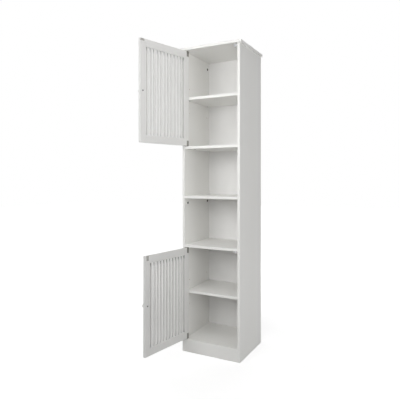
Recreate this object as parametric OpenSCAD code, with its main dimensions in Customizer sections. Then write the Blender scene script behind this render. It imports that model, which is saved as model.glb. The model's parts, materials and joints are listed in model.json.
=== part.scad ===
// Tall slim bathroom cabinet, six bays, with two slatted doors hung on pivot hinges.
// x = 0 is the middle of the cabinet, y = 0 its front plane, z = 0 the floor.

/* [Carcass] */
// Height of the whole cabinet
overall_h = 1800; // [1770:5:1900]
// Width across the two side panels
body_w = 376; // [340:2:440]
// Depth of the side panels
body_d = 315; // [270:5:380]
// Thickness of the carcass boards
board_t = 15; // [15:1:19]
// How far the top panel stands out at the front and at both sides
top_overhang = 12; // [4:1:25]
// Radius of the top panel's corners in plan
top_corner_r = 4; // [2:0.5:8]
// Radius of the top panel's eased edges
top_edge_r = 1.5; // [0.5:0.5:3]
// Height of the plinth, which ends level with the bottom panel
plinth_h = 76; // [60:1:120]
// Thickness of the back panels
back_t = 3; // [2.5:0.5:5]
// Distance from the back panels to the back edges of the sides
back_inset = 16; // [10:1:30]
// Depth of the grooves that hold the back panels
groove_depth = 5; // [3:0.5:7]
// Play of a back panel in its grooves
groove_clear = 0.2; // [0.1:0.05:0.4]
// Height of the lower back panel's bottom edge above the floor
back_foot = 12; // [5:1:40]

/* [Bays, clear heights from the bottom up, the sixth takes what is left] */
// Bay 1, below the lower adjustable shelf
bay_1 = 269; // [240:1:330]
// Bay 2, above the lower adjustable shelf
bay_2 = 260; // [240:1:330]
// Bay 3, the lower open bay
bay_3 = 275; // [200:1:350]
// Bay 4, the upper open bay
bay_4 = 278; // [200:1:350]
// Bay 5, below the upper adjustable shelf
bay_5 = 279; // [240:1:330]

/* [Adjustable shelves] */
// Clearance between a door's swinging hinge edge and an adjustable shelf
shelf_clear = 2.5; // [1:0.5:15]
// Gap at each end of an adjustable shelf
shelf_end_gap = 0.5; // [0.3:0.1:1.5]
// Gap behind an adjustable shelf
shelf_back_gap = 1; // [0.5:0.5:5]
// Diameter of the shelf pins
shelf_pin_d = 5; // [4:0.5:6]
// Length of a shelf pin inside the side panel
shelf_pin_in = 8; // [6:0.5:10]
// Length of a shelf pin under the shelf
shelf_pin_out = 8; // [6:0.5:12]
// Distance of the front pin holes behind the front plane
pin_front = 52; // [40:1:80]
// Distance of the rear pin holes in front of the back panel
pin_rear = 30; // [20:1:60]
// Height between two positions of an adjustable shelf
pin_pitch = 72; // [32:4:80]

/* [Doors] */
// Thickness of the doors
door_t = 15; // [14:1:17]
// Opening angle of the upper door at rest, in degrees
upper_open_angle = 107.5; // [0:0.5:109]
// Opening angle of the lower door at rest, in degrees
lower_open_angle = 100.5; // [0:0.5:109]
// Width of the door stiles
stile_w = 36; // [35:1:55]
// Height of the door rails
rail_h = 42; // [36:1:70]
// Rounding of the door members' edges
door_ease = 1; // [0.5:0.5:2]
// Number of slats in a door
slat_count = 11; // [5:1:12]
// Width of a slat
slat_w = 15; // [10:0.5:17]
// Thickness of a slat
slat_t = 9; // [6:0.5:11]
// Rounding of a slat's edges
slat_ease = 1.5; // [0.5:0.5:2.5]
// Depth of the mortises that hold the slats' ends
tenon = 8; // [5:1:15]
// Gap between the free edge of a door and the side panel
free_gap = 2.5; // [1.5:0.5:4]

/* [Pivot hinges] */
// Distance of the pivot from the hinge edge of the door
pivot_in = 8; // [7.5:0.5:12]
// Least clearance between a turning door and the side panel
swing_clear = 0.4; // [0.3:0.1:1.5]
// Thickness of the hinge plates
hinge_t = 1.2; // [1:0.1:2]
// Play between the fixed plate and the door's bracket
hinge_play = 0.6; // [0.4:0.1:1.5]
// Diameter of the pivot pins
pivot_d = 5; // [4:0.5:6]
// Radial running clearance of a pivot pin in its bracket
pivot_clear = 0.08; // [0.05:0.01:0.1]
// Length of a pivot pin below its plate
pivot_len = 9; // [6:0.5:12]
// Distance of a bracket from the hinge edge of the door
leg_in = 2; // [1.5:0.5:4]
// Width of a bracket's leg on the inner face of the door
leg_w = 14; // [12:1:18]
// Height of that leg
leg_h = 31; // [26:1:40]
// Length of the bracket's arm along the edge of the door
arm_len = 30; // [27:1:31]
// Width of the hinge plates across the edge of the door
plate_w = 13; // [11:0.5:13.5]

/* [Catches] */
// Distance from the free edge of the upper door to the middle of its strike plate
upper_strike_in = 14; // [14:0.5:22]
// Distance from the free edge of the lower door to the middle of its strike plate
lower_strike_in = 18; // [12:0.5:22]
// Long side of a strike plate
strike_l = 26; // [24:1:27]
// Short side of the upper strike plate
upper_strike_w = 11; // [9:0.5:14]
// Short side of the lower strike plate
lower_strike_w = 15; // [10:0.5:18]
// Thickness of the strike plates
strike_t = 1; // [0.8:0.1:1.5]
// Width of a magnetic catch
catch_w = 23; // [18:1:28]
// Height of a magnetic catch
catch_h = 14; // [12:1:18]
// Depth of the block that holds the magnet
catch_block = 13; // [11:1:18]
// Length of the ear behind the block
catch_ear = 12; // [10:1:18]
// Gap between the closed door's strike plate and the magnet
catch_gap = 0.4; // [0.3:0.1:1]

/* [Knobs] */
// Diameter of a knob
knob_d = 24; // [18:1:32]
// How far a knob stands out
knob_h = 21; // [16:1:28]
// Diameter of a knob's foot
knob_foot_d = 13; // [10:1:16]
// Diameter of the knob screws
knob_screw_d = 4; // [3.5:0.5:5]

/* [Fittings] */
// Diameter of a cam lock
cam_d = 15; // [12:1:16]
// Depth of a cam lock
cam_h = 12; // [11:0.5:13]
// Distance of the sides' cam locks from the panel's end
cam_reach = 44; // [30:1:48]
// Distance of the shelves' cam locks from the shelf's end
shelf_cam_reach = 34; // [24:1:44]
// Distance of the front cam locks behind the front plane
cam_front = 36; // [14:1:44]
// Distance of the rear cam locks in front of the back panel
cam_rear = 20; // [14:1:60]
// Distance of the shelves' front cam locks behind the front plane
shelf_cam_front = 62; // [45:1:90]
// Distance of the shelves' rear cam locks in front of the back panel
shelf_cam_rear = 62; // [45:1:90]
// Length of a cam bolt's thread in the neighbour board
bolt_thread = 10; // [8:0.5:11]
// Diameter of the dowels
dowel_d = 8; // [6:1:8]
// Length of a dowel inside a board's face
dowel_in_face = 9; // [7:0.5:10]
// Length of a dowel inside a board's edge
dowel_in_edge = 20; // [15:1:25]
// Diameter of the door frames' dowels
door_dowel_d = 6; // [5:0.5:7]
// Length of the door frames' dowels
door_dowel_len = 30; // [20:2:36]
// Length of the back panels' screws
back_screw_len = 16; // [12:1:25]
// Distance of the outer back panel screws from the side panels
back_screw_in = 60; // [40:5:100]
// Clearance round cams, dowels and bolts in their holes
bore_clear = 0.1; // [0.05:0.05:0.3]

/* [Hidden] */

// Carcass planes
inner_x = body_w / 2 - board_t;
side_mid_x = body_w / 2 - board_t / 2;
back_y = body_d - back_inset - back_t;

// Shelf undersides and the planes that the doors fit between
lower_adjustable_z = plinth_h + bay_1;
lower_fixed_z = lower_adjustable_z + board_t + bay_2;
middle_fixed_z = lower_fixed_z + board_t + bay_3;
seam_z = middle_fixed_z + board_t;
upper_fixed_z = seam_z + bay_4;
upper_fixed_top = upper_fixed_z + board_t;
upper_adjustable_z = upper_fixed_top + bay_5;
top_z = overall_h - board_t;
back_split_z = middle_fixed_z + board_t / 2;

// Doors
door_half = door_t / 2;
edge_swing_r = norm([pivot_in - door_ease, door_half - door_ease]) + door_ease;
leg_swing_r = norm([pivot_in - leg_in, door_half + hinge_t]);
swing_r = max(edge_swing_r, leg_swing_r);
hinge_gap = swing_r - pivot_in + swing_clear;
door_w = 2 * inner_x - hinge_gap - free_gap;
door_end_gap = 2 * hinge_t + hinge_play;
pivot_x = hinge_gap + pivot_in - inner_x;
upper_door_z = upper_fixed_top + door_end_gap;
upper_door_h = top_z - door_end_gap - upper_door_z;
lower_door_z = plinth_h + door_end_gap;
lower_door_h = lower_fixed_z - door_end_gap - lower_door_z;
slat_field = door_w - 2 * stile_w;
slat_gap = (slat_field - slat_count * slat_w) / (slat_count + 1);
shelf_setback = door_half + swing_r + shelf_clear;
pivot_bore_gap = 0.7;
pivot_bore_d = pivot_d + 2 * pivot_bore_gap;
pivot_bore_len = pivot_len - hinge_t;
knob_x = door_w - stile_w / 2;
upper_strike_x = door_w - upper_strike_in;
lower_strike_x = door_w - lower_strike_in;

// Small screws of the hinges, strike plates and catches
screw_d = 3;
screw_head_d = 5.4;
screw_head_h = 1.5;
screw_len = 11;
sunk_len = 13;
sunk_head_h = (screw_head_d - screw_d) / 2;

// Cross recess of a screw or a cam, as shares of its diameter and of its head's height
recess_l = 0.5;
recess_w = 0.11;
recess_depth = 0.46;
cam_recess_depth = 2.2;

// Hinge plates and brackets
plate_screw_in = 4;
plate_screw_y = 3.2;
plate_wall_gap = 1;
leg_screw_low = 0.72;
leg_screw_high = 0.36;
arm_screw_in = 4.5;
bend_in_r = 0.6;

// Strike plates and catches
strike_screw_span = 15;
strike_edge = 1.5;
strike_corner_r = 1.5;
ear_screw_span = 11;
ear_t = 3;
catch_chamfer = 2;
catch_rear_wall = 2;
magnet_wall = 1.5;
pole_t = 1.2;
pole_proud = 0.5;

// Knob: heights as shares of its height, the neck as a share of the foot's radius
knob_foot_z = 0.08;
knob_neck_z = 0.16;
knob_belly_z = 0.6;
knob_bore_z = 0.6;
knob_thread_z = 0.55;
knob_neck = 0.72;
knob_flare = 2.2;
knob_screw_head_d = 2 * knob_screw_d;
knob_screw_head_h = 2.4;

// Cam bolts and dowels
bolt_head_r = 3.4;
bolt_head_h = 3;
bolt_neck_r = 2.2;
bolt_neck_h = 3;
bolt_shank_r = 3;
thread_r = 3.2;
bolt_bore_r = 4.1;
end_dowel_step = 24;
plinth_dowel_low = 0.28;
plinth_dowel_high = 0.74;
door_dowel_wall = 1.6;
pin_tip = 0.8;
side_cam_ys = [cam_front, back_y - cam_rear];
shelf_cam_ys = [shelf_cam_front, back_y - shelf_cam_rear];
pin_ys = [pin_front, back_y - pin_rear];
shelf_dowel_y = back_y / 2;
end_dowel_ys = [shelf_cam_front + end_dowel_step, back_y - shelf_cam_rear - end_dowel_step];
plinth_dowel_zs = [plinth_h * plinth_dowel_low, plinth_h * plinth_dowel_high];

// Distances of the door frames' dowels from the door's end, clear of the screws and the mortises
outer_dowel_in = sunk_len - hinge_t + door_dowel_wall + door_dowel_d / 2;
inner_dowel_in = rail_h - tenon - door_dowel_wall - door_dowel_d / 2;

// Back panels and their screws, three to each fixed shelf
back_screw_head_d = 8;
back_screw_head_h = 2.2;
back_screw_xs = [back_screw_in - inner_x, 0, inner_x - back_screw_in];
rear_rail_y = back_y - board_t / 2;
rear_rail_h = plinth_h - board_t;
fixed_shelf_zs = [plinth_h - board_t, lower_fixed_z, middle_fixed_z, upper_fixed_z];
lower_side_shelf_zs = [plinth_h - board_t, lower_fixed_z, middle_fixed_z];
upper_side_shelf_zs = [upper_fixed_z];

white = [0.93, 0.93, 0.91];
pale = [0.87, 0.87, 0.85];
dark_steel = [0.38, 0.37, 0.35];
zinc = [0.6, 0.6, 0.6];
beech = [0.8, 0.66, 0.45];
cut = 0.5;

// Corner points of a rectangle with rounded corners, from the origin
function corner(cx, cy, r, a) = [for (i = [0:4]) [cx + r * cos(a + 22.5 * i), cy + r * sin(a + 22.5 * i)]];
function eased(w, t, r) = concat(
    corner(w - r, t - r, r, 0),
    corner(r, t - r, r, 90),
    corner(r, r, r, 180),
    corner(w - r, r, r, 270)
);

// A board of the given size, from its lowest corner
module board(x, y, z, size) {
    translate([x, y, z]) cube(size);
}

module both_sides() {
    children();
    mirror([1, 0, 0]) children();
}

// Fittings

// Cross recess in a head of diameter d, its open end at z = 0
module cross_recess(d, depth) {
    for (a = [0, 90])
        rotate([0, 0, a])
            translate([-d * recess_l / 2, -d * recess_w / 2, -depth])
                cube([d * recess_l, d * recess_w, depth + cut]);
}

// Cam lock with its visible face at z = 0, and its bolt along +X
module cam_lock() {
    difference() {
        translate([0, 0, -cam_h]) cylinder(d = cam_d, h = cam_h, $fn = 48);
        translate([-bolt_head_h / 2 - bore_clear, 0, -board_t / 2]) rotate([0, 90, 0])
            cylinder(r = bolt_bore_r, h = cam_d, $fn = 32);
        cross_recess(cam_d, cam_recess_depth);
    }
}

// Seat of a cam lock, and the bore that its bolt passes along
module cam_seat(reach) {
    seat_h = cam_h + bore_clear;
    translate([0, 0, -seat_h]) cylinder(d = cam_d + 2 * bore_clear, h = seat_h + cut, $fn = 48);
    translate([0, 0, -board_t / 2]) rotate([0, 90, 0])
        cylinder(r = bolt_bore_r, h = reach + cut, $fn = 32);
}

// Cam bolt with its head at the origin, and its thread beyond x = reach
module cam_bolt(reach) {
    head_z = bolt_head_h / 2;
    neck_z = head_z + bolt_neck_h;
    rotate([0, 90, 0]) rotate_extrude($fn = 32) polygon([
        [0, -head_z], [bolt_head_r, -head_z], [bolt_head_r, head_z], [bolt_neck_r, head_z],
        [bolt_neck_r, neck_z], [bolt_shank_r, neck_z], [bolt_shank_r, reach],
        [thread_r, reach], [thread_r, reach + bolt_thread], [0, reach + bolt_thread]
    ]);
}

// Hole for a bolt's thread, from the board's face at the origin along +X
module thread_hole() {
    translate([-cut, 0, 0]) rotate([0, 90, 0])
        cylinder(r = thread_r + bore_clear, h = bolt_thread + bore_clear + cut, $fn = 32);
}

// Cam position in the left side panel, with the bolt pointing up through the panel's end at z
module left_side_cams(z) {
    for (y = side_cam_ys)
        translate([-inner_x, y, z - cam_reach]) rotate([0, 90, 0]) rotate([0, 0, 180]) children();
}

// Bolt position in the left side panel, along +X of its own frame, towards the end at z
module left_side_bolts(z) {
    for (y = side_cam_ys)
        translate([-side_mid_x, y, z - cam_reach]) rotate([0, -90, 0]) children();
}

// Cam position on the underside of a fixed shelf, with the bolt pointing to the right end
module right_shelf_cams(z) {
    for (y = shelf_cam_ys)
        translate([inner_x - shelf_cam_reach, y, z]) rotate([180, 0, 0]) children();
}

module right_shelf_bolts(z) {
    for (y = shelf_cam_ys)
        translate([inner_x - shelf_cam_reach, y, z + board_t / 2]) children();
}

// Dowel along +Z, from face_len below the origin to edge_len above it
module dowel(face_len, edge_len, clear) {
    translate([0, 0, -face_len - clear])
        cylinder(d = dowel_d + 2 * clear, h = face_len + edge_len + 2 * clear, $fn = 32);
}

// Dowels between the top panel and the left side, and between the two left side panels
module left_top_dowels(clear) {
    for (y = end_dowel_ys)
        translate([-side_mid_x, y, top_z]) mirror([0, 0, 1])
            dowel(dowel_in_face, dowel_in_edge, clear);
}

module left_seam_dowels(clear) {
    for (y = end_dowel_ys)
        translate([-side_mid_x, y, seam_z]) dowel(dowel_in_edge, dowel_in_edge, clear);
}

// Dowel between the left side and the end of a fixed shelf
module left_shelf_dowel(z, clear) {
    translate([-inner_x, shelf_dowel_y, z + board_t / 2]) rotate([0, 90, 0])
        dowel(dowel_in_face, dowel_in_edge, clear);
}

// Dowels between the plinth and the notch of the left side
module left_plinth_dowels(clear) {
    for (z = plinth_dowel_zs)
        translate([-side_mid_x, board_t, z]) rotate([-90, 0, 0])
            dowel(dowel_in_face, dowel_in_edge, clear);
}

// Dowel between the left side and the rear plinth board
module left_rear_rail_dowel(clear) {
    translate([-inner_x, rear_rail_y, rear_rail_h / 2]) rotate([0, 90, 0])
        dowel(dowel_in_face, dowel_in_edge, clear);
}

// Holes for shelf pins in the left side, round the position that holds the shelf
module left_pin_holes(shelf_z) {
    for (y = pin_ys)
        for (k = [-1:1])
            translate([-inner_x + cut, y, shelf_z - shelf_pin_d / 2 + k * pin_pitch])
                rotate([0, -90, 0])
                    cylinder(
                        d = shelf_pin_d + 2 * bore_clear,
                        h = shelf_pin_in + bore_clear + cut,
                        $fn = 24
                    );
}

module left_shelf_pins(shelf_z) {
    r = shelf_pin_d / 2;
    len = shelf_pin_in + shelf_pin_out;
    for (y = pin_ys)
        translate([-inner_x - shelf_pin_in, y, shelf_z - r]) rotate([0, 90, 0])
            rotate_extrude($fn = 24) polygon([
                [0, 0], [r - pin_tip, 0], [r, pin_tip], [r, len - pin_tip],
                [r - pin_tip, len], [0, len]
            ]);
}

// Carcass boards

module top_panel() {
    w = body_w + 2 * top_overhang;
    d = body_d + top_overhang;
    color(white) difference() {
        translate([-w / 2, -top_overhang, top_z]) intersection() {
            linear_extrude(board_t) polygon(eased(w, d, top_corner_r));
            translate([0, d, 0]) rotate([90, 0, 0]) linear_extrude(d)
                polygon(eased(w, board_t, top_edge_r));
            rotate([90, 0, 90]) linear_extrude(w) polygon(eased(d, board_t, top_edge_r));
        }
        both_sides() {
            left_top_dowels(bore_clear);
            left_side_bolts(top_z) translate([cam_reach, 0, 0]) thread_hole();
        }
        under_plate_screws(top_z) sunk_hole();
        upper_catch_screws() domed_hole(screw_len);
    }
}

module left_shelf_cuts(z) {
    for (y = shelf_cam_ys)
        translate([-inner_x, y, z + board_t / 2]) rotate([0, 0, 180]) thread_hole();
    left_shelf_dowel(z, bore_clear);
}

module back_groove(z0, z1) {
    board(
        -inner_x - groove_depth, back_y, z0 - cut,
        [groove_depth + cut, back_t + groove_clear, z1 - z0 + 2 * cut]
    );
}

module left_side_upper_panel() {
    difference() {
        board(-body_w / 2, 0, seam_z, [board_t, body_d, top_z - seam_z]);
        back_groove(seam_z, top_z);
        left_side_cams(top_z) cam_seat(cam_reach);
        left_side_bolts(seam_z) translate([cam_reach, 0, 0]) thread_hole();
        left_top_dowels(bore_clear);
        left_seam_dowels(bore_clear);
        for (z = upper_side_shelf_zs) left_shelf_cuts(z);
        left_pin_holes(upper_adjustable_z);
    }
}

module left_side_lower_panel() {
    difference() {
        board(-body_w / 2, 0, 0, [board_t, body_d, seam_z]);
        board(-body_w / 2 - cut, -cut, -cut, [board_t + 2 * cut, board_t + cut, plinth_h + cut]);
        back_groove(0, seam_z);
        left_side_cams(seam_z) cam_seat(cam_reach);
        left_seam_dowels(bore_clear);
        for (z = lower_side_shelf_zs) left_shelf_cuts(z);
        left_pin_holes(lower_adjustable_z);
        left_plinth_dowels(bore_clear);
        left_rear_rail_dowel(bore_clear);
    }
}

module left_side_upper() {
    color(white) left_side_upper_panel();
}

module left_side_lower() {
    color(white) left_side_lower_panel();
}

module right_side_upper() {
    color(white) mirror([1, 0, 0]) left_side_upper_panel();
}

module right_side_lower() {
    color(white) mirror([1, 0, 0]) left_side_lower_panel();
}

// Fixed board between the sides, from y = front back to the back panels, less its children
module fixed_board(z, front) {
    color(white) difference() {
        board(-inner_x, front, z, [2 * inner_x, back_y - front, board_t]);
        both_sides() {
            right_shelf_cams(z) cam_seat(shelf_cam_reach);
            left_shelf_dowel(z, bore_clear);
        }
        back_screws(z) domed_hole(back_screw_len);
        children();
    }
}

module bottom_panel() {
    fixed_board(plinth_h - board_t, board_t);
}

module lower_fixed_shelf() {
    fixed_board(lower_fixed_z, 0) {
        under_plate_screws(lower_fixed_z) sunk_hole();
        lower_catch_screws() domed_hole(screw_len);
    }
}

module middle_fixed_shelf() {
    fixed_board(middle_fixed_z, 0);
}

module upper_fixed_shelf() {
    fixed_board(upper_fixed_z, 0) on_plate_screws(upper_fixed_top) sunk_hole();
}

module adjustable_shelf(z) {
    w = 2 * (inner_x - shelf_end_gap);
    d = back_y - shelf_back_gap - shelf_setback;
    color(white) board(-w / 2, shelf_setback, z, [w, d, board_t]);
}

module lower_adjustable_shelf() {
    adjustable_shelf(lower_adjustable_z);
}

module upper_adjustable_shelf() {
    adjustable_shelf(upper_adjustable_z);
}

module plinth_front() {
    color(white) difference() {
        board(-body_w / 2, 0, 0, [body_w, board_t, plinth_h]);
        both_sides() left_plinth_dowels(bore_clear);
        on_plate_screws(plinth_h) sunk_hole();
    }
}

module plinth_rear() {
    color(white) difference() {
        board(-inner_x, back_y - board_t, 0, [2 * inner_x, board_t, rear_rail_h]);
        both_sides() left_rear_rail_dowel(bore_clear);
    }
}

module back_panel(z0, z1) {
    w = 2 * (inner_x + groove_depth - groove_clear);
    color(pale) difference() {
        board(-w / 2, back_y, z0, [w, back_t, z1 - z0]);
        for (z = fixed_shelf_zs) back_screws(z) domed_hole(back_screw_len);
    }
}

module back_panel_upper() {
    back_panel(back_split_z, top_z);
}

module back_panel_lower() {
    back_panel(back_foot, back_split_z);
}

// Groups of fittings

module side_cam_locks() {
    color(dark_steel) both_sides() {
        left_side_cams(top_z) cam_lock();
        left_side_cams(seam_z) cam_lock();
    }
}

module side_cam_bolts() {
    color(zinc) both_sides() {
        left_side_bolts(top_z) cam_bolt(cam_reach);
        left_side_bolts(seam_z) cam_bolt(cam_reach);
    }
}

module shelf_cam_locks() {
    color(dark_steel) both_sides()
        for (z = fixed_shelf_zs) right_shelf_cams(z) cam_lock();
}

module shelf_cam_bolts() {
    color(zinc) both_sides()
        for (z = fixed_shelf_zs) right_shelf_bolts(z) cam_bolt(shelf_cam_reach);
}

module wood_dowels() {
    color(beech) both_sides() {
        left_top_dowels(0);
        left_seam_dowels(0);
        for (z = fixed_shelf_zs) left_shelf_dowel(z, 0);
        left_plinth_dowels(0);
        left_rear_rail_dowel(0);
    }
}

module shelf_pins() {
    color(zinc) both_sides() {
        left_shelf_pins(lower_adjustable_z);
        left_shelf_pins(upper_adjustable_z);
    }
}

// Outline of a screw with a sunk head, from its point up to its head's face at z = 0
function sunk_outline(clear) = [
    [0, -sunk_len - clear],
    [screw_d / 2 + clear, -sunk_len - clear],
    [screw_d / 2 + clear, -sunk_head_h],
    [screw_head_d / 2 + clear, 0]
];

module sunk_screw() {
    difference() {
        rotate_extrude($fn = 24) polygon(concat(sunk_outline(0), [[0, 0]]));
        cross_recess(screw_head_d, sunk_head_h * recess_depth);
    }
}

// Its hole, which goes on past the head's face
module sunk_hole() {
    rotate_extrude($fn = 24) polygon(concat(
        sunk_outline(bore_clear),
        [[screw_head_d / 2 + bore_clear, cut], [0, cut]]
    ));
}

// Screw with a domed head, the underside of its head at z = 0 and its point down
module domed_screw(d, len, head_d, head_h) {
    difference() {
        rotate_extrude($fn = 32) polygon(concat(
            [[0, -len], [d / 2, -len], [d / 2, 0]],
            [for (i = [0:5]) [head_d / 2 * cos(18 * i), head_h * sin(18 * i)]]
        ));
        translate([0, 0, head_h]) cross_recess(head_d, head_h * recess_depth);
    }
}

module small_domed_screw() {
    domed_screw(screw_d, screw_len, screw_head_d, screw_head_h);
}

module domed_hole(len) {
    translate([0, 0, -len - bore_clear])
        cylinder(d = screw_d + 2 * bore_clear, h = len + bore_clear + cut, $fn = 24);
}

// Places of the screws through the back panels into the rear edge of the fixed shelf at z
module back_screws(z) {
    for (x = back_screw_xs)
        translate([x, back_y + back_t, z + board_t / 2]) rotate([-90, 0, 0]) children();
}

module back_panel_screws() {
    color(zinc)
        for (z = fixed_shelf_zs)
            back_screws(z)
                domed_screw(screw_d, back_screw_len, back_screw_head_d, back_screw_head_h);
}

// Pivot hinges

// Positions of the fixed plates' screws, on the wall side of the pivot
module plate_screws() {
    x = plate_wall_gap + plate_screw_in - hinge_gap - pivot_in;
    for (y = [-plate_screw_y, plate_screw_y])
        translate([x, y, 0]) mirror([0, 0, 1]) children();
}

// Fixed plate with its pin down, the face towards the door at z = 0
module pivot_plate() {
    wall_x = plate_wall_gap - hinge_gap - pivot_in;
    difference() {
        union() {
            linear_extrude(hinge_t) {
                circle(d = plate_w, $fn = 48);
                translate([wall_x, -plate_w / 2]) square([-wall_x, plate_w]);
            }
            translate([0, 0, -pivot_len]) cylinder(d = pivot_d, h = pivot_len + hinge_t, $fn = 32);
        }
        plate_screws() sunk_hole();
    }
}

// Frame of the fixed plate under a board at z, and on a board at z
module under_board(z) {
    translate([pivot_x, door_half, z - hinge_t]) children();
}

module on_board(z) {
    translate([pivot_x, door_half, z + hinge_t]) mirror([0, 0, 1]) children();
}

// Screws of the plate under a board at z, and of the plate on a board at z
module under_plate_screws(z) {
    under_board(z) plate_screws() children();
}

module on_plate_screws(z) {
    on_board(z) plate_screws() children();
}

module upper_door_top_pivot_plate() {
    color(dark_steel) under_board(top_z) pivot_plate();
}

module upper_door_bottom_pivot_plate() {
    color(dark_steel) on_board(upper_fixed_top) pivot_plate();
}

module lower_door_top_pivot_plate() {
    color(dark_steel) under_board(lower_fixed_z) pivot_plate();
}

module lower_door_bottom_pivot_plate() {
    color(dark_steel) on_board(plinth_h) pivot_plate();
}

// Bracket on the top edge of a door, in the door's frame with that edge at z = 0
module door_bracket() {
    bend = hinge_t + bend_in_r;
    leg_y = door_t + hinge_t;
    difference() {
        union() {
            translate([leg_in, 0, 0]) rotate([90, 0, 90]) linear_extrude(leg_w) polygon(concat(
                [[door_t, 0], [door_t, -leg_h], [leg_y, -leg_h]],
                corner(leg_y - bend, hinge_t - bend, bend, 0),
                [[door_half - plate_w / 2, hinge_t], [door_half - plate_w / 2, 0]]
            ));
            translate([leg_in, door_half - plate_w / 2, 0]) cube([arm_len, plate_w, hinge_t]);
        }
        translate([pivot_in, door_half, -cut])
            cylinder(d = pivot_d + 2 * pivot_clear, h = hinge_t + 2 * cut, $fn = 48);
        bracket_screw_holes();
    }
}

module arm_screw() {
    translate([leg_in + arm_len - arm_screw_in, door_half, hinge_t]) children();
}

module leg_screws() {
    for (share = [leg_screw_high, leg_screw_low])
        translate([leg_in + leg_w / 2, door_t + hinge_t, -leg_h * share])
            rotate([-90, 0, 0]) children();
}

module bracket_screws() {
    arm_screw() sunk_screw();
    leg_screws() small_domed_screw();
}

module bracket_screw_holes() {
    arm_screw() sunk_hole();
    leg_screws() domed_hole(screw_len);
}

// A door's frame: x from its hinge edge, y from its outer face, z from its bottom edge
module hang(z, angle) {
    translate([pivot_x, door_half, z]) rotate([0, 0, -angle])
        translate([-pivot_in, -door_half, 0]) children();
}

module upper_door() {
    hang(upper_door_z, upper_open_angle) children();
}

module lower_door() {
    hang(lower_door_z, lower_open_angle) children();
}

// The top edge of a door of height h, and its bottom edge upside down
module at_top_edge(h) {
    translate([0, 0, h]) children();
}

module at_bottom_edge() {
    mirror([0, 0, 1]) children();
}

module pivot_bore() {
    translate([pivot_in, door_half, -pivot_bore_len])
        cylinder(d = pivot_bore_d, h = pivot_bore_len + cut, $fn = 32);
}

// Dowels between the stiles and a rail, two at each corner, with the rail's outer edge at z = 0
module corner_dowels(clear) {
    len = door_dowel_len + 2 * clear;
    for (x = [stile_w, door_w - stile_w])
        for (depth = [outer_dowel_in, inner_dowel_in])
            translate([x - len / 2, door_half, -depth]) rotate([0, 90, 0])
                cylinder(d = door_dowel_d + 2 * clear, h = len, $fn = 24);
}

module door_dowels(h, clear) {
    at_top_edge(h) corner_dowels(clear);
    at_bottom_edge() corner_dowels(clear);
}

module hinge_stile(h) {
    color(white) difference() {
        linear_extrude(h) polygon(eased(stile_w, door_t, door_ease));
        door_dowels(h, bore_clear);
        at_top_edge(h) {
            pivot_bore();
            bracket_screw_holes();
        }
        at_bottom_edge() {
            pivot_bore();
            bracket_screw_holes();
        }
    }
}

// Free stile, drilled for the knob and for whatever its children cut
module free_stile(h) {
    color(white) difference() {
        translate([door_w - stile_w, 0, 0]) linear_extrude(h)
            polygon(eased(stile_w, door_t, door_ease));
        translate([knob_x, -cut, h / 2]) rotate([-90, 0, 0])
            cylinder(d = knob_screw_d + 2 * bore_clear, h = door_t + 2 * cut, $fn = 32);
        door_dowels(h, bore_clear);
        children();
    }
}

module slat_row(z, len) {
    for (i = [0:slat_count - 1])
        translate([
            stile_w + slat_gap + i * (slat_w + slat_gap),
            (door_t - slat_t) / 2,
            z
        ])
            linear_extrude(len) polygon(eased(slat_w, slat_t, slat_ease));
}

// Rail from z up, mortised from mortise_z up and drilled as its children say
module rail(z, mortise_z) {
    color(white) difference() {
        translate([stile_w, 0, z]) rotate([90, 0, 90])
            linear_extrude(slat_field) polygon(eased(door_t, rail_h, door_ease));
        slat_row(mortise_z, tenon + cut);
        children();
    }
}

module top_rail(h) {
    rail(h - rail_h, h - rail_h - cut) at_top_edge(h) corner_dowels(bore_clear);
}

module bottom_rail() {
    rail(0, rail_h - tenon) at_bottom_edge() corner_dowels(bore_clear);
}

module slats(h) {
    color(white) slat_row(rail_h - tenon, h - 2 * rail_h + 2 * tenon);
}

module knob(h) {
    foot_r = knob_foot_d / 2;
    neck_r = foot_r * knob_neck;
    belly_r = knob_d / 2;
    color(white) translate([knob_x, 0, h / 2]) rotate([90, 0, 0]) difference() {
        rotate_extrude($fn = 64) polygon(concat(
            [[0, 0], [foot_r, 0], [foot_r, knob_h * knob_foot_z]],
            [for (i = [0:6]) [
                neck_r + (belly_r - neck_r) * pow(i / 6, knob_flare),
                knob_h * (knob_neck_z + (knob_belly_z - knob_neck_z) * i / 6)
            ]],
            [for (i = [1:9]) [
                belly_r * cos(10 * i),
                knob_h * (knob_belly_z + (1 - knob_belly_z) * sin(10 * i))
            ]]
        ));
        translate([0, 0, -cut])
            cylinder(d = knob_screw_d + 2 * bore_clear, h = knob_h * knob_bore_z + cut, $fn = 32);
    }
}

module knob_screw(h) {
    color(dark_steel) translate([knob_x, door_t, h / 2]) rotate([-90, 0, 0])
        domed_screw(
            knob_screw_d,
            door_t + knob_h * knob_thread_z,
            knob_screw_head_d,
            knob_screw_head_h
        );
}

// Strike plate with its middle at x, w wide and l high, drilled as its children say
module strike_plate(h, x, w, l) {
    color(dark_steel) difference() {
        translate([x - w / 2, door_t, h - strike_edge - l])
            mirror([0, 1, 0]) rotate([90, 0, 0]) linear_extrude(strike_t)
                polygon(eased(w, l, strike_corner_r));
        children();
    }
}

// Places of the screws of a strike plate l high, side by side or one above the other
module strike_screws(h, x, l, upright) {
    span = strike_screw_span / 2;
    for (k = [-span, span])
        translate([
            x + (upright ? 0 : k),
            door_t + strike_t,
            h - strike_edge - l / 2 + (upright ? k : 0)
        ])
            rotate([-90, 0, 0]) children();
}

module upper_strike_screws() {
    strike_screws(upper_door_h, upper_strike_x, upper_strike_w, false) children();
}

module lower_strike_screws() {
    strike_screws(lower_door_h, lower_strike_x, strike_l, true) children();
}

// Catches

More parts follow.
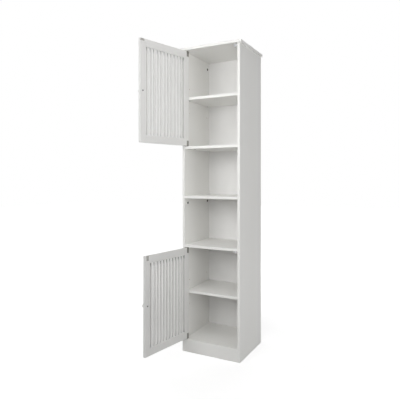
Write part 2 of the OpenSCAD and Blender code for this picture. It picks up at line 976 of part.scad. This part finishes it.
// Catch under a board at z, where a closed door has strike_x: y from the magnet's face
module catch_place(z, strike_x) {
    translate([
        pivot_x - pivot_in + strike_x,
        door_t + strike_t + catch_gap,
        z - catch_h
    ]) children();
}

module upper_catch() {
    catch_place(top_z, upper_strike_x) children();
}

module lower_catch() {
    catch_place(lower_fixed_z, lower_strike_x) children();
}

// Places of the screws in the catch's ear
module ear_screws() {
    for (k = [-1, 1])
        translate([
            k * ear_screw_span / 2,
            pole_proud + catch_block + catch_ear / 2,
            catch_h - ear_t
        ])
            mirror([0, 0, 1]) children();
}

module catch_housing() {
    color(white) difference() {
        translate([-catch_w / 2, pole_proud, 0]) rotate([90, 0, 90]) linear_extrude(catch_w)
            polygon([
                [0, 0], [catch_block - catch_chamfer, 0], [catch_block, catch_chamfer],
                [catch_block, catch_h - ear_t],
                [catch_block + catch_ear, catch_h - ear_t], [catch_block + catch_ear, catch_h],
                [0, catch_h]
            ]);
        translate([-catch_w / 2 + magnet_wall, pole_proud - cut, magnet_wall])
            cube([
                catch_w - 2 * magnet_wall,
                catch_block - catch_rear_wall + cut,
                catch_h - 2 * magnet_wall
            ]);
        ear_screws() domed_hole(screw_len);
    }
}

module catch_magnet() {
    w = catch_w - 2 * magnet_wall;
    inside_h = catch_h - 2 * magnet_wall;
    depth = catch_block - catch_rear_wall + pole_proud;
    color(dark_steel) translate([-w / 2, 0, magnet_wall]) rotate([90, 0, 90]) linear_extrude(w)
        polygon([
            [0, 0], [depth, 0], [depth, inside_h], [0, inside_h],
            [0, inside_h - pole_t], [pole_proud, inside_h - pole_t],
            [pole_proud, pole_t], [0, pole_t]
        ]);
}

module upper_catch_screws() {
    upper_catch() ear_screws() children();
}

module lower_catch_screws() {
    lower_catch() ear_screws() children();
}

module upper_catch_housing() {
    upper_catch() catch_housing();
}

module upper_catch_magnet() {
    upper_catch() catch_magnet();
}

module lower_catch_housing() {
    lower_catch() catch_housing();
}

module lower_catch_magnet() {
    lower_catch() catch_magnet();
}

// Screws that hold the fixed plates and the catches to the carcass
module cabinet_screws() {
    color(dark_steel) {
        for (z = [top_z, lower_fixed_z]) under_plate_screws(z) sunk_screw();
        for (z = [upper_fixed_top, plinth_h]) on_plate_screws(z) sunk_screw();
        upper_catch_screws() small_domed_screw();
        lower_catch_screws() small_domed_screw();
    }
}

// Upper door

module upper_door_hinge_stile() {
    upper_door() hinge_stile(upper_door_h);
}

module upper_door_free_stile() {
    upper_door() free_stile(upper_door_h) upper_strike_screws() sunk_hole();
}

module upper_door_top_rail() {
    upper_door() top_rail(upper_door_h);
}

module upper_door_bottom_rail() {
    upper_door() bottom_rail();
}

module upper_door_slats() {
    upper_door() slats(upper_door_h);
}

module upper_door_top_bracket() {
    color(dark_steel) upper_door() at_top_edge(upper_door_h) door_bracket();
}

module upper_door_bottom_bracket() {
    color(dark_steel) upper_door() at_bottom_edge() door_bracket();
}

module upper_door_knob() {
    upper_door() knob(upper_door_h);
}

module upper_door_knob_screw() {
    upper_door() knob_screw(upper_door_h);
}

module upper_door_strike_plate() {
    upper_door() strike_plate(upper_door_h, upper_strike_x, strike_l, upper_strike_w)
        upper_strike_screws() sunk_hole();
}

module upper_door_screws() {
    color(dark_steel) upper_door() {
        at_top_edge(upper_door_h) bracket_screws();
        at_bottom_edge() bracket_screws();
        upper_strike_screws() sunk_screw();
    }
}

module upper_door_dowels() {
    color(beech) upper_door() door_dowels(upper_door_h, 0);
}

// Lower door

module lower_door_hinge_stile() {
    lower_door() hinge_stile(lower_door_h);
}

module lower_door_free_stile() {
    lower_door() free_stile(lower_door_h) lower_strike_screws() sunk_hole();
}

module lower_door_top_rail() {
    lower_door() top_rail(lower_door_h);
}

module lower_door_bottom_rail() {
    lower_door() bottom_rail();
}

module lower_door_slats() {
    lower_door() slats(lower_door_h);
}

module lower_door_top_bracket() {
    color(dark_steel) lower_door() at_top_edge(lower_door_h) door_bracket();
}

module lower_door_bottom_bracket() {
    color(dark_steel) lower_door() at_bottom_edge() door_bracket();
}

module lower_door_knob() {
    lower_door() knob(lower_door_h);
}

module lower_door_knob_screw() {
    lower_door() knob_screw(lower_door_h);
}

module lower_door_strike_plate() {
    lower_door() strike_plate(lower_door_h, lower_strike_x, lower_strike_w, strike_l)
        lower_strike_screws() sunk_hole();
}

module lower_door_screws() {
    color(dark_steel) lower_door() {
        at_top_edge(lower_door_h) bracket_screws();
        at_bottom_edge() bracket_screws();
        lower_strike_screws() sunk_screw();
    }
}

module lower_door_dowels() {
    color(beech) lower_door() door_dowels(lower_door_h, 0);
}

top_panel();
left_side_upper();
left_side_lower();
right_side_upper();
right_side_lower();
bottom_panel();
lower_fixed_shelf();
middle_fixed_shelf();
upper_fixed_shelf();
lower_adjustable_shelf();
upper_adjustable_shelf();
plinth_front();
plinth_rear();
back_panel_upper();
back_panel_lower();
side_cam_locks();
side_cam_bolts();
shelf_cam_locks();
shelf_cam_bolts();
wood_dowels();
shelf_pins();
cabinet_screws();
back_panel_screws();
upper_door_top_pivot_plate();
upper_door_bottom_pivot_plate();
lower_door_top_pivot_plate();
lower_door_bottom_pivot_plate();
upper_catch_housing();
upper_catch_magnet();
lower_catch_housing();
lower_catch_magnet();
upper_door_hinge_stile();
upper_door_free_stile();
upper_door_top_rail();
upper_door_bottom_rail();
upper_door_slats();
upper_door_top_bracket();
upper_door_bottom_bracket();
upper_door_knob();
upper_door_knob_screw();
upper_door_strike_plate();
upper_door_screws();
upper_door_dowels();
lower_door_hinge_stile();
lower_door_free_stile();
lower_door_top_rail();
lower_door_bottom_rail();
lower_door_slats();
lower_door_top_bracket();
lower_door_bottom_bracket();
lower_door_knob();
lower_door_knob_screw();
lower_door_strike_plate();
lower_door_screws();
lower_door_dowels();
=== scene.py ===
import json
import math

import bpy
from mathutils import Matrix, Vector


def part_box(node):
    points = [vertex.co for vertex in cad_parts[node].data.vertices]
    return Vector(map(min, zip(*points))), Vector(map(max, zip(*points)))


# Places are in metres, from the middle of the cabinet's front at the floor: x to the right, y to the wall,
# z up

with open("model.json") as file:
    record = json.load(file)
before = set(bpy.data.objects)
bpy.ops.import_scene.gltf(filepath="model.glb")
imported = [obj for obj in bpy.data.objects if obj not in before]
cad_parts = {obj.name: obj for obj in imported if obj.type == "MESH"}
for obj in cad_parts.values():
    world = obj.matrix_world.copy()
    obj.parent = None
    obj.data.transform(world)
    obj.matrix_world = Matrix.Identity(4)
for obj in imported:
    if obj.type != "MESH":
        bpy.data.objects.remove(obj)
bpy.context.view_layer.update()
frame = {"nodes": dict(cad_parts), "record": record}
NODES = frame["nodes"]
SLOT_OF = {row["node"]: row["material_slot"] for row in frame["record"]["subparts"]}
MM = 0.001

# Camera, fitted to the photograph's straight edges

# The photograph is a crop, so its optical axis lies off the middle of the picture
PICTURE_PX = 400
FOCAL_PX = 403.49
AXIS_PX = Vector((232.88, 177.94))
CAMERA_AT = Vector((1.1266, -2.0379, 1.0306))
CAMERA_TURN = math.radians(25.721)
SENSOR_MM = 36
CLIP_NEAR = 0.05
CLIP_FAR = 60.0


def make_camera():
    data = bpy.data.cameras.new("camera")
    data.sensor_width = SENSOR_MM
    data.lens = FOCAL_PX / PICTURE_PX * SENSOR_MM
    data.shift_x = 0.5 - AXIS_PX.x / PICTURE_PX
    data.shift_y = AXIS_PX.y / PICTURE_PX - 0.5
    data.clip_start = CLIP_NEAR
    data.clip_end = CLIP_FAR
    camera = bpy.data.objects.new("camera", data)
    camera.location = CAMERA_AT
    camera.rotation_euler = (math.pi / 2, 0, CAMERA_TURN)
    bpy.context.scene.collection.objects.link(camera)
    bpy.context.scene.camera = camera


# Node trees

EDGE_SAMPLES = 6
HOLLOW_SAMPLES = 4
# Parts of a noise's range, which lies around 0.5
CORE = (0.4, 0.6)
MOST = (0.35, 0.65)
NEARLY_ALL = (0.3, 0.7)
UPPER = (0.45, 0.7)
ABOVE_LOW = (0.35, 0.7)
# Parts of the range of two noises added, which lies around 1
SUM_MOST = (0.7, 1.3)
SUM_NEARLY_ALL = (0.6, 1.4)
# How well the rounded normal agrees with the face's own where an edge begins, and where it is full
EDGE_AGREES = (0.995, 0.8)
# How open to the outside a face is where a hollow begins, and where it is full
HOLLOW_OPEN = (0.55, 0.3)
# How well a face's direction agrees with the one asked for where facing begins, and where it is full
FACING_AGREES = (0.4, 0.8)


class Tree:
    """A material's nodes, made and joined by short calls. Coordinates are the piece's own, in metres."""

    def __init__(self, name):
        self.material = bpy.data.materials.new(name)
        self.material.use_nodes = True
        self.nodes = self.material.node_tree.nodes
        self.links = self.material.node_tree.links
        self.shader = self.nodes["Principled BSDF"]
        self.place = self.add("ShaderNodeTexCoord").outputs["Object"]

    def add(self, kind, **settings):
        node = self.nodes.new(kind)
        for key, value in settings.items():
            setattr(node, key, value)
        return node

    def put(self, socket, value):
        """Links an output to a socket, or sets a constant on it."""
        if isinstance(value, bpy.types.NodeSocket):
            self.links.new(value, socket)
        else:
            socket.default_value = value

    def set(self, **values):
        """Sets or links the shader's sockets, named in lower case with underscores."""
        for key, value in values.items():
            self.put(self.shader.inputs[key.replace("_", " ").title().replace("Ior", "IOR")], value)

    def stretch(self, scale, turn=0.0):
        """Coordinates turned about z and scaled, for grain that runs one way."""
        turned = self.add("ShaderNodeMapping", vector_type="TEXTURE")
        self.put(turned.inputs["Vector"], self.place)
        turned.inputs["Rotation"].default_value = (0, 0, turn)
        scaled = self.add("ShaderNodeMapping")
        self.put(scaled.inputs["Vector"], turned.outputs["Vector"])
        scaled.inputs["Scale"].default_value = scale
        return scaled.outputs["Vector"]

    def noise(self, scale=1.0, detail=3.0, rough=0.5, at=None, warp=0.0):
        """Noise with scale features to a metre, or to a unit of the coordinates given in at."""
        node = self.add("ShaderNodeTexNoise")
        self.put(node.inputs["Vector"], at or self.place)
        node.inputs["Scale"].default_value = scale
        node.inputs["Detail"].default_value = detail
        node.inputs["Roughness"].default_value = rough
        node.inputs["Distortion"].default_value = warp
        return node.outputs["Fac"]

    def span(self, value, part, to=(0.0, 1.0)):
        """A part of value's range, stretched to the range to. Either may run downwards."""
        node = self.add("ShaderNodeMapRange")
        self.put(node.inputs["Value"], value)
        for key, number in zip(("From Min", "From Max", "To Min", "To Max"), (*part, *to)):
            node.inputs[key].default_value = number
        return node.outputs["Result"]

    def combine(self, operation, a, b):
        """Two values put together by a math operation, such as ADD."""
        node = self.add("ShaderNodeMath", operation=operation)
        self.put(node.inputs[0], a)
        self.put(node.inputs[1], b)
        return node.outputs["Value"]

    def mix(self, share, a, b):
        """Colour a where share is 0 and colour b where it is 1."""
        node = self.add("ShaderNodeMix", data_type="RGBA")
        self.put(node.inputs["Factor"], share)
        for socket, value in zip([s for s in node.inputs if s.type == "RGBA"], (a, b)):
            self.put(socket, value if isinstance(value, bpy.types.NodeSocket) else (*value, 1.0))
        return next(s for s in node.outputs if s.type == "RGBA")

    def agreement(self, normal, direction):
        """The dot product of a normal with a direction or another normal."""
        dot = self.add("ShaderNodeVectorMath", operation="DOT_PRODUCT")
        self.put(dot.inputs[0], normal)
        self.put(dot.inputs[1], direction)
        return dot.outputs["Value"]

    def edges(self, width):
        """1 along the piece's edges, falling to 0 within width of them."""
        rounded = self.add("ShaderNodeBevel", samples=EDGE_SAMPLES)
        rounded.inputs["Radius"].default_value = width
        flat = self.add("ShaderNodeNewGeometry").outputs["Normal"]
        return self.span(self.agreement(rounded.outputs["Normal"], flat), EDGE_AGREES)

    def hollows(self, reach):
        """1 inside drilled holes and narrow grooves of the piece itself, 0 on its open faces."""
        node = self.add("ShaderNodeAmbientOcclusion", samples=HOLLOW_SAMPLES, only_local=True)
        node.inputs["Distance"].default_value = reach
        return self.span(node.outputs["AO"], HOLLOW_OPEN)

    def facing(self, turn, either_way):
        """1 on faces that look along the level direction at the angle turn, and 0 on the others."""
        normal = self.add("ShaderNodeTexCoord").outputs["Normal"]
        value = self.agreement(normal, (math.cos(turn), math.sin(turn), 0))
        if either_way:
            value = self.combine("ABSOLUTE", value, 0.0)
        return self.span(value, FACING_AGREES)

    def height(self):
        split = self.add("ShaderNodeSeparateXYZ")
        self.put(split.inputs["Vector"], self.place)
        return split.outputs["Z"]

    def bump(self, height, strength, distance):
        node = self.add("ShaderNodeBump")
        node.inputs["Strength"].default_value = strength
        node.inputs["Distance"].default_value = distance
        self.put(node.inputs["Height"], height)
        self.put(self.shader.inputs["Normal"], node.outputs["Normal"])


def shade(color, factor):
    return tuple(min(1.0, channel * factor) for channel in color)


# Materials

BOARD = (0.905, 0.90, 0.875)
PAINT = (0.79, 0.785, 0.77)
FOIL = (0.90, 0.895, 0.885)
CHIPBOARD = (0.42, 0.31, 0.19)
DARK_STEEL = (0.36, 0.35, 0.33)
STRIKE_STEEL = (0.37, 0.365, 0.35)
SCREW_STEEL = (0.16, 0.155, 0.15)
# Dark cast zinc for the cams, darkened further as painted shade of the holes they sit in
ZINC_WITH_HOLE_SHADE = (0.07, 0.07, 0.067)
ZINC = (0.55, 0.55, 0.54)
PIN_ZINC = (0.82, 0.82, 0.81)
BEECH = (0.55, 0.36, 0.19)
PLASTIC = (0.62, 0.615, 0.60)
MAGNET = (0.45, 0.45, 0.46)
# A place with walls around it within this distance counts as inside a drilled hole
HOLE_REACH = 12 * MM
# How much edges take of their dust's colour, and those of metal of their rubbed one
EDGE_DUST = 0.5
EDGE_RUB = 0.6
# In the photograph the gaps between the slats are dark for a short length below the top rail, and fainter
# above the bottom rail. That shade is painted into the gaps' sides: the painted shade ends this far from
# the rail, and is full this near to it
GAP_SHADE_REACH = 25 * MM
GAP_FULL_SHADE_REACH = GAP_SHADE_REACH / 3
# The share of the colour that the painted shade in the gaps keeps, and the painted shade's strength above
# the bottom rail
GAP_SHADE = 0.6
BOTTOM_SHADE = 0.25
# Height of the grain under the paint, beside that of the orange peel
PAINTED_GRAIN = 0.7

# Features to a metre along x, y and z. In the paint of a door's members, x is the door's width

# Grain runs up the stiles and slats, and along the rails
GRAIN_ACROSS = 190.0
GRAIN_ALONG = 9.0
UPRIGHT = (GRAIN_ACROSS, GRAIN_ACROSS, GRAIN_ALONG)
LEVEL = (GRAIN_ALONG, GRAIN_ACROSS, GRAIN_ACROSS)
NO_GRAIN = (60.0, 60.0, 60.0)
FLECKS = (500.0, 500.0, 70.0)
FIBRES = (260.0, 260.0, 90.0)
BRUSHED_ON_Z = (900.0, 900.0, 60.0)
BRUSHED_ON_Y = (700.0, 60.0, 700.0)
BRUSHED_ON_XY = (60.0, 60.0, 900.0)
TURNED_ON_X = (300.0, 1200.0, 1200.0)
TURNED_ROUGHLY = (300.0, 900.0, 300.0)
CAST = (400.0, 400.0, 400.0)


def laminate(name, color):
    """Satin melamine: a fine pearl grain, faint clouds, dusty edges, and bare chipboard in its holes."""
    t = Tree(name)
    clouds = t.noise(scale=3.0, detail=4.0)
    pearl = t.noise(scale=700.0, detail=2.0)
    worn = t.combine("MULTIPLY", t.edges(width=1.2 * MM), t.span(t.noise(scale=60.0), UPPER))
    tone = t.mix(t.span(clouds, MOST), shade(color, 0.985), shade(color, 1.01))
    chips = t.mix(t.span(t.noise(scale=900.0), CORE), CHIPBOARD, shade(CHIPBOARD, 0.6))
    face = t.mix(t.combine("MULTIPLY", worn, EDGE_DUST), tone, shade(color, 0.8))
    t.set(
        base_color=t.mix(t.hollows(HOLE_REACH), face, chips),
        roughness=t.span(t.combine("ADD", pearl, clouds), SUM_NEARLY_ALL, to=(0.36, 0.48)),
        specular_ior_level=0.45,
    )
    t.bump(pearl, strength=0.25, distance=0.05 * MM)
    return t.material


def paint(name, color, grain_scale, turn=0.0, gap=None, either_way=False):
    """Sprayed paint on wood: orange peel over grain that runs along the member.

    For a member beside the gaps between the slats, gap gives the gaps' lowest and highest height. Its sides
    that look along turn, or either way, are darkened near both by painted shade.
    """
    t = Tree(name)
    grain = t.noise(detail=5.0, rough=0.6, at=t.stretch(grain_scale, turn), warp=0.4)
    peel = t.noise(scale=420.0, detail=2.0)
    clouds = t.noise(scale=4.0)
    worn = t.combine("MULTIPLY", t.edges(width=1.5 * MM), t.span(t.noise(scale=45.0), UPPER))
    tone = t.mix(t.span(t.combine("ADD", grain, clouds), SUM_MOST), shade(color, 0.975), shade(color, 1.01))
    face = t.mix(t.combine("MULTIPLY", worn, EDGE_DUST), tone, shade(color, 0.82))
    # Painted shade: the gaps' sides are darkened near the rails, most below the top rail
    if gap is not None:
        low, high = gap
        top = t.span(t.height(), (high - GAP_SHADE_REACH, high - GAP_FULL_SHADE_REACH))
        bottom = t.span(t.height(), (low + GAP_SHADE_REACH, low + GAP_FULL_SHADE_REACH), to=(0.0, BOTTOM_SHADE))
        ends = t.combine("MAXIMUM", top, bottom)
        painted_shade = t.combine("MULTIPLY", ends, t.facing(turn, either_way))
        face = t.mix(painted_shade, face, shade(color, GAP_SHADE))
    t.set(
        base_color=face,
        roughness=t.span(grain, NEARLY_ALL, to=(0.34, 0.46)),
        specular_ior_level=0.5,
        coat_weight=0.12,
        coat_roughness=0.2,
    )
    relief = t.combine("ADD", t.combine("MULTIPLY", grain, PAINTED_GRAIN), peel)
    t.bump(relief, strength=0.3, distance=0.08 * MM)
    return t.material


def foil(name, color):
    """Printed white foil on thin fibreboard, a little duller and more clouded than the boards."""
    t = Tree(name)
    clouds = t.noise(scale=5.0, detail=5.0)
    fibre = t.noise(detail=4.0, at=t.stretch(FIBRES))
    t.set(
        base_color=t.mix(t.span(clouds, MOST), shade(color, 0.97), shade(color, 1.01)),
        roughness=t.span(fibre, NEARLY_ALL, to=(0.46, 0.58)),
        specular_ior_level=0.4,
    )
    t.bump(fibre, strength=0.3, distance=0.06 * MM)
    return t.material


def metal(name, color, roughness, brush, edge_light):
    """Plated metal with brush marks, stains, and edges rubbed lighter by the factor edge_light."""
    t = Tree(name)
    marks = t.noise(detail=4.0, rough=0.65, at=t.stretch(brush))
    stains = t.noise(scale=160.0, detail=4.0)
    tone = t.mix(t.span(stains, ABOVE_LOW), shade(color, 0.82), shade(color, 1.1))
    rubbed = t.combine("MULTIPLY", t.edges(width=0.5 * MM), EDGE_RUB)
    uneven = t.combine("ADD", marks, stains)
    t.set(
        base_color=t.mix(rubbed, tone, shade(color, edge_light)),
        metallic=1.0,
        roughness=t.span(uneven, SUM_NEARLY_ALL, to=(roughness - 0.08, roughness + 0.1)),
    )
    t.bump(marks, strength=0.25, distance=0.03 * MM)
    return t.material


def bare_wood(name, color):
    """Beech with short dark flecks along the dowel."""
    t = Tree(name)
    grain = t.noise(detail=6.0, at=t.stretch(FLECKS))
    t.set(
        base_color=t.mix(t.span(grain, ABOVE_LOW), shade(color, 1.15), shade(color, 0.7)),
        roughness=t.span(grain, NEARLY_ALL, to=(0.6, 0.75)),
    )
    t.bump(grain, strength=0.4, distance=0.1 * MM)
    return t.material


def plastic(name, color, roughness):
    """Moulded plastic with a spark-eroded grain and a slight glow under the surface."""
    t = Tree(name)
    grain = t.noise(scale=1500.0, detail=2.0)
    flow = t.noise(scale=90.0, detail=3.0)
    t.set(
        base_color=t.mix(t.span(flow, MOST), shade(color, 0.96), shade(color, 1.02)),
        roughness=t.span(grain, NEARLY_ALL, to=(roughness - 0.04, roughness + 0.05)),
        subsurface_weight=0.15,
        subsurface_scale=1.0 * MM,
    )
    t.bump(grain, strength=0.2, distance=0.04 * MM)
    return t.material


# Pieces whose finish isn't that of their material slot, by the end of their names
KINDS = ("strike_plate", "knob_screw", "shelf_pins")


def middle(node):
    low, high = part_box(node)
    return (low + high) / 2


def door_turn(door):
    """The angle of the door's width about z at rest."""
    along = middle(f"{door}_free_stile") - middle(f"{door}_hinge_stile")
    return math.atan2(along.y, along.x)


def make_materials():
    """The materials, by slot, kind of piece or piece. Both rails of a door share one."""
    made = {
        "panel_white": laminate("board_white", BOARD),
        "back_board": foil("back_foil", FOIL),
        "hinge_steel": metal("hinge_steel", DARK_STEEL, roughness=0.38, brush=BRUSHED_ON_Z, edge_light=1.5),
        # The cams' colour holds painted shade of their holes
        "cam_zinc": metal("cam_zinc", ZINC_WITH_HOLE_SHADE, roughness=0.5, brush=CAST, edge_light=1.8),
        "bolt_steel": metal("bolt_steel", ZINC, roughness=0.3, brush=TURNED_ON_X, edge_light=1.2),
        "dowel_wood": bare_wood("dowel_beech", BEECH),
        "catch_plastic": plastic("catch_plastic", PLASTIC, roughness=0.42),
        "magnet_dark": metal("magnet_steel", MAGNET, roughness=0.45, brush=BRUSHED_ON_Y, edge_light=1.3),
        "knob_white": paint("knob_paint", PAINT, NO_GRAIN),
        "strike_plate": metal(
            "strike_steel", STRIKE_STEEL, roughness=0.42, brush=BRUSHED_ON_XY, edge_light=1.3
        ),
        "shelf_pins": metal("pin_zinc", PIN_ZINC, roughness=0.5, brush=TURNED_ON_X, edge_light=1.1),
        "knob_screw": metal(
            "screw_steel", SCREW_STEEL, roughness=0.45, brush=TURNED_ROUGHLY, edge_light=1.6
        ),
    }
    for door in ("upper_door", "lower_door"):
        turn = door_turn(door)
        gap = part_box(f"{door}_bottom_rail")[1].z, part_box(f"{door}_top_rail")[0].z
        made[f"{door}_rail"] = paint(f"{door}_rail_paint", PAINT, LEVEL, turn)
        made[f"{door}_slats"] = paint(f"{door}_slat_paint", PAINT, UPRIGHT, turn, gap, either_way=True)
        made[f"{door}_hinge_stile"] = paint(f"{door}_hinge_stile_paint", PAINT, UPRIGHT, turn, gap)
        made[f"{door}_free_stile"] = paint(f"{door}_free_stile_paint", PAINT, UPRIGHT, turn + math.pi, gap)
    return made


def material_of(name, materials):
    """The material of the piece itself, of its kind, or of its slot."""
    if name in materials:
        return materials[name]
    if name.endswith("_rail"):
        return materials[name.rsplit("_", 2)[0] + "_rail"]
    return materials[next((kind for kind in KINDS if name.endswith(kind)), SLOT_OF[name])]


def dress_nodes(materials):
    for name, node in NODES.items():
        node.data.materials.clear()
        node.data.materials.append(material_of(name, materials))
        for face in node.data.polygons:
            face.material_index = 0


# Floor, world and lamps

WHITE = (1.0, 1.0, 1.0, 1.0)
FLOOR_HALF = 12.0
FLOOR_COLOR = (0.52, 0.52, 0.52, 1.0)
# What the camera sees of the floor, beyond its lit colour, near the object and far from it, so that it
# looks white where no shadow falls, and the distances in metres between which the one turns into the other
FLOOR_LIFT = (0.65, 1.0)
FLOOR_FADE = (0.6, 1.9)
WORLD_LIGHT = 0.075
WORLD_SHOWN = 1.0
# Name, place, aim, width and height in metres, power in watts
LAMPS = [
    ("front", (0.15, -1.8, 1.5), (0.15, 0.1, 1.5), 2.8, 0.9, 20.2),
    ("front_high", (0.4, -2.4, 3.2), (0.0, 0.1, 1.2), 1.2, 1.2, 8.8),
    ("top", (0.1, -1.3, 3.2), (0.0, 0.1, 1.2), 1.6, 1.0, 4.1),
    ("right", (2.6, -1.0, 1.3), (0.0, 0.15, 1.0), 1.6, 1.6, 12.8),
    ("right_low", (3.0, -0.4, 0.5), (0.0, 0.15, 0.6), 1.6, 1.6, 16.0),
    ("front_left", (-0.9, -2.3, 1.6), (0.1, 0.2, 1.4), 1.0, 1.0, 7.8),
    ("top_right", (0.6, -1.0, 2.9), (-0.1, 0.1, 0.6), 0.8, 0.8, 5.2),
    ("above", (0.0, 0.45, 3.4), (0.0, 0.2, 1.8), 0.9, 0.9, 7.0),
    ("back", (-0.5, 3.3, 1.6), (0.0, 0.3, 0.9), 1.8, 1.8, 32.0),
    ("left", (-3.0, 1.0, 1.5), (0.0, 0.15, 0.9), 1.8, 1.8, 34.0),
]


def seen_directly(nodes, links):
    """1 for rays of the camera, of gloss and of glass, which show the background, and 0 for the others."""
    path = nodes.new("ShaderNodeLightPath")
    total = path.outputs["Is Camera Ray"]
    for name in ("Is Glossy Ray", "Is Transmission Ray"):
        more = nodes.new("ShaderNodeMath")
        more.operation = "MAXIMUM"
        links.new(total, more.inputs[0])
        links.new(path.outputs[name], more.inputs[1])
        total = more.outputs["Value"]
    return total


def make_world():
    """A dim white light all round, behind a background that shows as white."""
    world = bpy.data.worlds.new("studio")
    world.use_nodes = True
    nodes, links = world.node_tree.nodes, world.node_tree.links
    light = nodes["Background"]
    light.inputs["Color"].default_value = WHITE
    light.inputs["Strength"].default_value = WORLD_LIGHT
    shown = nodes.new("ShaderNodeBackground")
    shown.inputs["Color"].default_value = WHITE
    shown.inputs["Strength"].default_value = WORLD_SHOWN
    pick = nodes.new("ShaderNodeMixShader")
    links.new(seen_directly(nodes, links), pick.inputs["Fac"])
    links.new(light.outputs["Background"], pick.inputs[1])
    links.new(shown.outputs["Background"], pick.inputs[2])
    links.new(pick.outputs["Shader"], nodes["World Output"].inputs["Surface"])
    bpy.context.scene.world = world


def make_floor():
    """A plain pale floor that looks white to the camera, with the object's shadow on it."""
    mesh = bpy.data.meshes.new("floor")
    corners = [(-1, -1), (1, -1), (1, 1), (-1, 1)]
    mesh.from_pydata([(x * FLOOR_HALF, y * FLOOR_HALF, 0) for x, y in corners], [], [(0, 1, 2, 3)])
    floor = bpy.data.objects.new("floor", mesh)
    bpy.context.scene.collection.objects.link(floor)
    t = Tree("floor")
    t.set(base_color=FLOOR_COLOR, roughness=0.9, specular_ior_level=0.1)
    distance = t.add("ShaderNodeVectorMath", operation="LENGTH")
    t.put(distance.inputs[0], t.place)
    lift = t.add("ShaderNodeEmission")
    t.put(lift.inputs["Strength"], t.span(distance.outputs["Value"], FLOOR_FADE, to=FLOOR_LIFT))
    both = t.add("ShaderNodeAddShader")
    t.put(both.inputs[0], t.shader.outputs["BSDF"])
    t.put(both.inputs[1], lift.outputs["Emission"])
    pick = t.add("ShaderNodeMixShader")
    t.put(pick.inputs["Fac"], seen_directly(t.nodes, t.links))
    t.put(pick.inputs[1], t.shader.outputs["BSDF"])
    t.put(pick.inputs[2], both.outputs["Shader"])
    t.put(t.nodes["Material Output"].inputs["Surface"], pick.outputs["Shader"])
    mesh.materials.append(t.material)


def make_lamp(name, place, aim, width, height, power):
    data = bpy.data.lights.new(name, "AREA")
    data.shape = "RECTANGLE"
    data.size, data.size_y = width, height
    data.energy = power
    lamp = bpy.data.objects.new(name, data)
    lamp.visible_camera = False
    lamp.location = place
    lamp.rotation_euler = (Vector(aim) - Vector(place)).to_track_quat("-Z", "Y").to_euler()
    bpy.context.scene.collection.objects.link(lamp)


make_camera()
dress_nodes(make_materials())
make_world()
make_floor()
for lamp in LAMPS:
    make_lamp(*lamp)
bpy.context.scene.view_settings.view_transform = "Standard"
